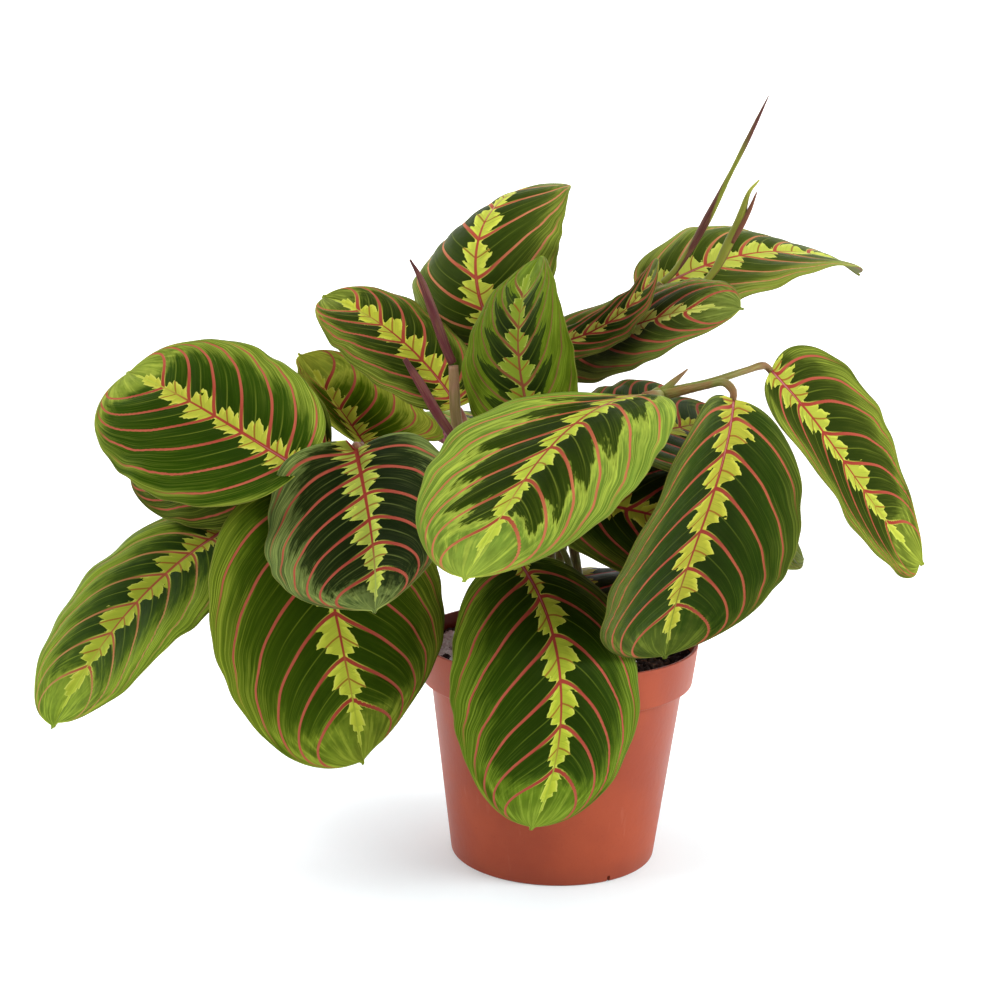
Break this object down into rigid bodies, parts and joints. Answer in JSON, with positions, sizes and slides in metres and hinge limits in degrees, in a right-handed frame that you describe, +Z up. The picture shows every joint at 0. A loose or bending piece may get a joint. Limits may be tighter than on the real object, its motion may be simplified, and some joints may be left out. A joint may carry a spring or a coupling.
{
  "type": "potted prayer plant",
  "caption": "Leafy prayer plant with patterned oval leaves on arching stalks, standing in peat in a round tapered nursery pot with a banded rim.",
  "frame": {"origin": "middle of the flat base of the pot", "axes": "+Z up along the pot's axis, -Y toward the viewer of the picture, +X to the viewer's right"},
  "size_m": [0.3605, 0.2842, 0.3231],
  "materials": {
    "pot_plastic": "satin",
    "potting_soil": "matte",
    "perlite": "matte",
    "leaf_dark": "satin",
    "leaf_mid": "satin",
    "leaf_bright": "satin",
    "stem_green": "satin",
    "spike_purple": "satin"
  },
  "bodies": {
    "root": {"pot": "pot_plastic", "soil": "potting_soil", "perlite_patch": "perlite", "leaf_left_high": "leaf_mid", "leaf_left_behind": "leaf_dark", "leaf_left_low": "leaf_bright", "leaf_left_hanging": "leaf_dark", "leaf_round_dark": "leaf_dark", "leaf_left_back": "leaf_mid", "leaf_upper_left": "leaf_mid", "leaf_front_bright": "leaf_bright", "leaf_right_front": "leaf_dark", "leaf_far_right": "leaf_dark", "leaf_right_inner": "leaf_dark", "leaf_right_behind": "leaf_dark", "leaf_centre_upright": "leaf_mid", "leaf_top": "leaf_dark", "leaf_right_upper": "leaf_mid", "leaf_right_folded": "leaf_dark", "leaf_right_top": "leaf_mid", "leaf_inner_back": "leaf_dark", "leaf_front_hanging": "leaf_dark", "leaf_inner_low": "leaf_dark", "leaf_rear_low": "leaf_dark", "leaf_back_centre": "leaf_mid", "leaf_back_tall": "leaf_mid", "leaf_back_left": "leaf_mid", "leaf_back_right": "leaf_mid", "leaf_low_left": "leaf_dark", "leaf_low_right": "leaf_dark", "shoot_right": "stem_green", "shoot_upper_left": "stem_green", "shoot_right_back": "stem_green", "shoot_left": "stem_green", "shoot_centre": "stem_green", "shoot_back": "stem_green", "stalk_front_hanging": "stem_green", "stalk_inner_low": "stem_green", "stalk_rear_low": "stem_green", "stalk_low_right": "stem_green", "spike_tall": "spike_purple", "spike_torn": "spike_purple", "spike_purple": "spike_purple", "spike_purple_low": "spike_purple"}
  },
  "joints": []
}
